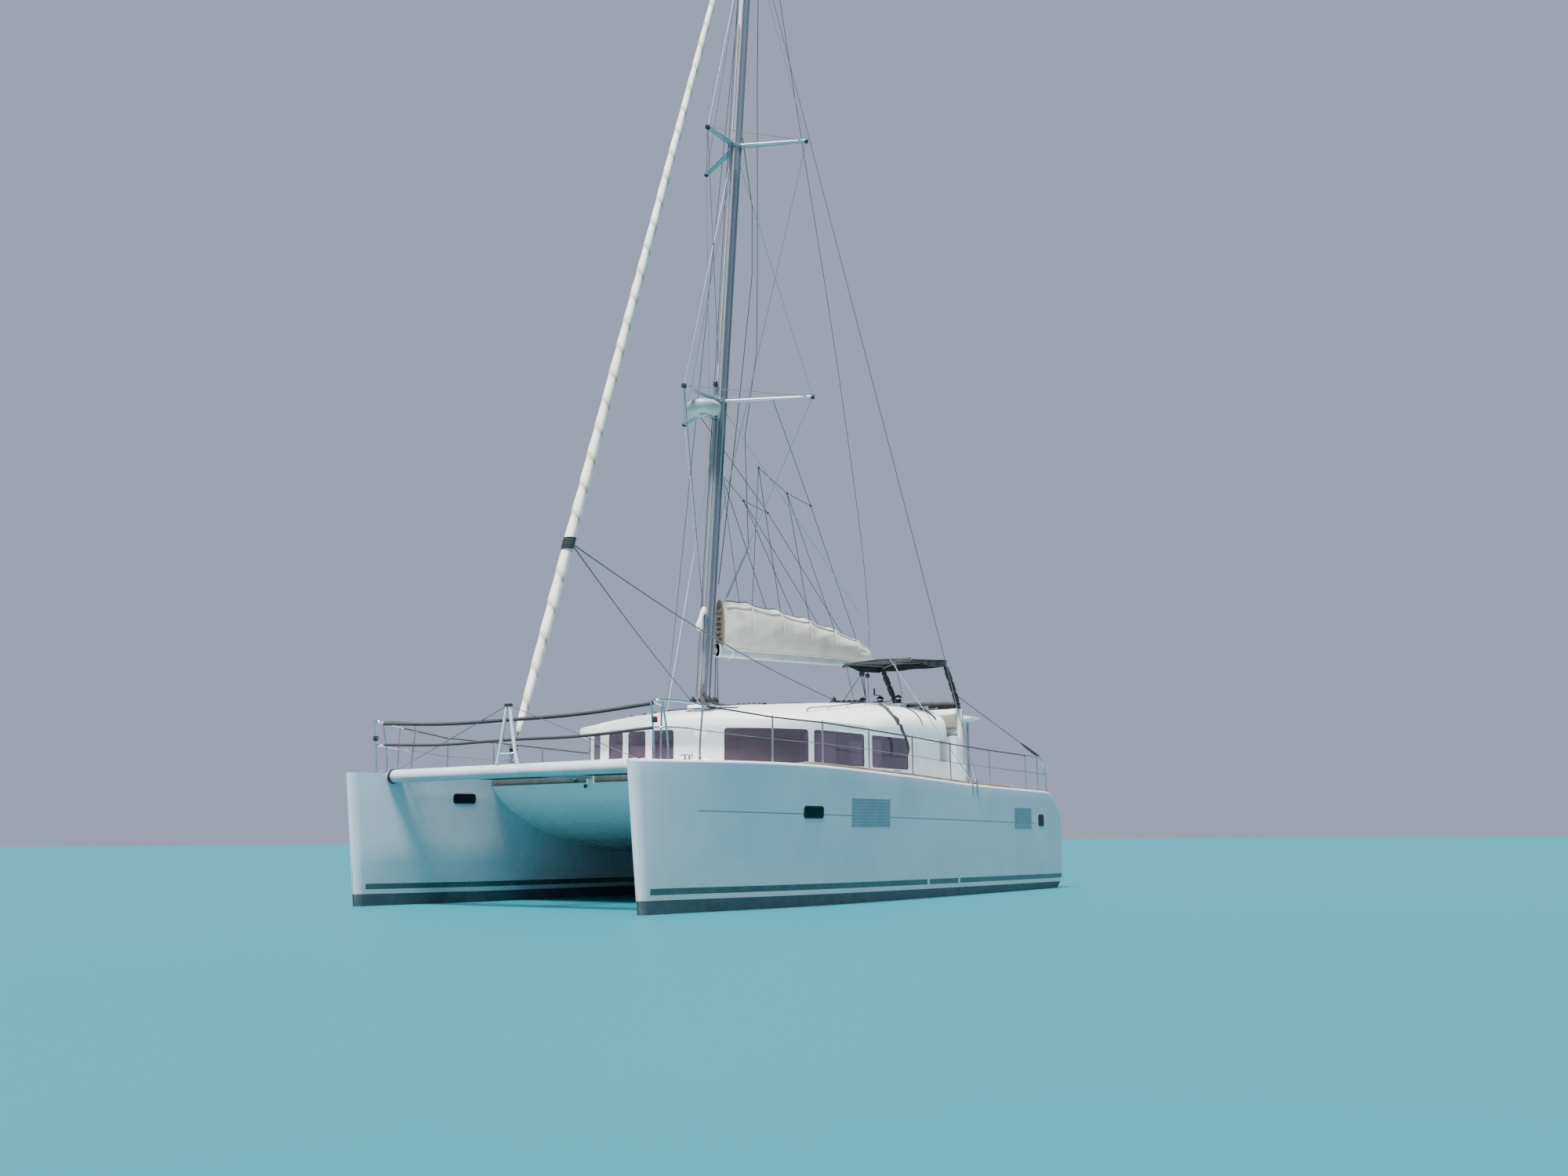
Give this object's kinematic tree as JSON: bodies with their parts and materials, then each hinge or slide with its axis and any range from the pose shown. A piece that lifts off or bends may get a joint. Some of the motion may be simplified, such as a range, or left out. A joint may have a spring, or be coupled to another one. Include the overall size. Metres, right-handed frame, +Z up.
{
  "type": "sailing catamaran",
  "caption": "Cruising sailing catamaran afloat: twin hulls, bridge deck with cabin and cockpit, raked mast, stowed mainsail on a swinging boom, furled headsail, rudders and propellers.",
  "frame": {"origin": "on the centreline, at the waterline, midway along the hulls", "axes": "+X forward, +Y port, +Z up"},
  "size_m": [11.97, 7.2086, 21.51],
  "materials": {
    "gelcoat": "white polyester gelcoat, gloss",
    "antifouling": "matt slate bottom paint",
    "tinted_glass": "dark tinted acrylic",
    "spar_alloy": "anodised aluminium",
    "stainless": "polished stainless steel",
    "white_plastic": "white moulded plastic",
    "bag_canvas": "cream acrylic canvas",
    "sailcloth": "white woven sailcloth",
    "dark_canvas": "dark grey acrylic canvas",
    "net_cord": "dark knotted net",
    "cushion_cloth": "grey beige vinyl cushion cloth",
    "teak": "weathered teak",
    "bronze": "cast bronze",
    "engine_paint": "grey enamel on cast metal"
  },
  "bodies": {
    "boat": {"hull_port": "gelcoat", "hull_starboard": "gelcoat", "engine_port": "engine_paint", "engine_starboard": "engine_paint", "keel_port": "antifouling", "keel_starboard": "antifouling", "saildrive_port": "engine_paint", "saildrive_starboard": "engine_paint", "bridge_deck": "gelcoat", "cabin_front": "gelcoat", "cabin_side_port": "gelcoat", "cabin_side_starboard": "gelcoat", "cabin_glazing": "tinted_glass", "coachroof": "gelcoat", "aft_bulkhead": "gelcoat", "saloon_settee": "cushion_cloth", "galley_counter": "gelcoat", "aft_bench": "gelcoat", "aft_bench_cushion": "cushion_cloth", "side_bench": "gelcoat", "side_bench_cushion": "cushion_cloth", "cockpit_table": "teak", "cockpit_hardtop": "gelcoat", "helm_platform": "gelcoat", "helm_seat": "gelcoat", "helm_cushion": "cushion_cloth", "helm_frame": "stainless", "helm_canopy": "dark_canvas", "mast": "spar_alloy", "lower_spreaders": "spar_alloy", "upper_spreaders": "spar_alloy", "radome": "white_plastic", "furled_genoa": "sailcloth", "furler_drum": "stainless", "front_crossbeam": "spar_alloy", "striker_strut": "stainless", "trampoline_port": "net_cord", "trampoline_starboard": "net_cord", "bow_pulpit_port": "stainless", "bow_pulpit_starboard": "stainless", "guardrail_port": "stainless", "guardrail_starboard": "stainless", "cap_shroud_port": "stainless", "cap_shroud_starboard": "stainless", "winch_bank": "stainless", "windlass": "stainless"},
    "boom": {"boom": "spar_alloy", "sail_bag": "bag_canvas"},
    "steering_wheel": {"steering_wheel": "stainless"},
    "rudder_port": {"rudder_port": "antifouling"},
    "rudder_starboard": {"rudder_starboard": "antifouling"},
    "propeller_port": {"propeller_port": "bronze"},
    "propeller_starboard": {"propeller_starboard": "bronze"},
    "door": {"cockpit_door": "tinted_glass"},
    "engine_lid_port": {"engine_lid_port": "gelcoat"},
    "engine_lid_starboard": {"engine_lid_starboard": "gelcoat"},
    "forepeak_lid_port": {"forepeak_lid_port": "gelcoat"},
    "forepeak_lid_starboard": {"forepeak_lid_starboard": "gelcoat"},
    "anchor_locker_lid": {"anchor_locker_lid": "gelcoat"}
  },
  "joints": [
    {"name": "boom_swing", "type": "hinge", "parent": "boat", "child": "boom", "pos_m": [0.5, 0, 4.21], "axis": [-0.0884, 0, 0.9961], "range_deg": [-42, 42]},
    {"name": "wheel_turn", "type": "hinge", "parent": "boat", "child": "steering_wheel", "pos_m": [-3.50226, 1.65, 3.08076], "axis": [-0.9664, 0, 0.2571], "range_deg": [-540, 540]},
    {"name": "rudder_port_turn", "type": "hinge", "parent": "boat", "child": "rudder_port", "pos_m": [-5.1, 2.86, -0.6], "axis": [0, 0, 1], "range_deg": [-35, 35]},
    {"name": "rudder_starboard_turn", "type": "hinge", "parent": "boat", "child": "rudder_starboard", "pos_m": [-5.1, -2.86, -0.6], "axis": [0, 0, 1], "range_deg": [-35, 35]},
    {"name": "propeller_port_spin", "type": "hinge", "parent": "boat", "child": "propeller_port", "pos_m": [-3.75, 2.86, -0.85], "axis": [1, 0, 0], "continuous": true},
    {"name": "propeller_starboard_spin", "type": "hinge", "parent": "boat", "child": "propeller_starboard", "pos_m": [-3.75, -2.86, -0.85], "axis": [1, 0, 0], "continuous": true},
    {"name": "door_slide", "type": "slide", "parent": "boat", "child": "door", "axis": [0, -1, 0], "range_m": [0, 0.82]},
    {"name": "engine_lid_port_hinge", "type": "hinge", "parent": "boat", "child": "engine_lid_port", "pos_m": [-4.536, 2.85, 1.15], "axis": [0, 1, 0], "range_deg": [0, 95]},
    {"name": "engine_lid_starboard_hinge", "type": "hinge", "parent": "boat", "child": "engine_lid_starboard", "pos_m": [-4.536, -2.85, 1.15], "axis": [0, 1, 0], "range_deg": [0, 95]},
    {"name": "forepeak_lid_port_hinge", "type": "hinge", "parent": "boat", "child": "forepeak_lid_port", "pos_m": [4.724, 2.81, 2.018], "axis": [0, 1, 0], "range_deg": [0, 100]},
    {"name": "forepeak_lid_starboard_hinge", "type": "hinge", "parent": "boat", "child": "forepeak_lid_starboard", "pos_m": [4.724, -2.81, 2.018], "axis": [0, 1, 0], "range_deg": [0, 100]},
    {"name": "anchor_locker_lid_hinge", "type": "hinge", "parent": "boat", "child": "anchor_locker_lid", "pos_m": [3.224, 0, 2.024], "axis": [0, 1, 0], "range_deg": [0, 95]}
  ],
  "couplings": [
    {"joint": "rudder_port_turn", "follows": "wheel_turn", "ratio": -0.064815},
    {"joint": "rudder_starboard_turn", "follows": "wheel_turn", "ratio": -0.064814}
  ]
}
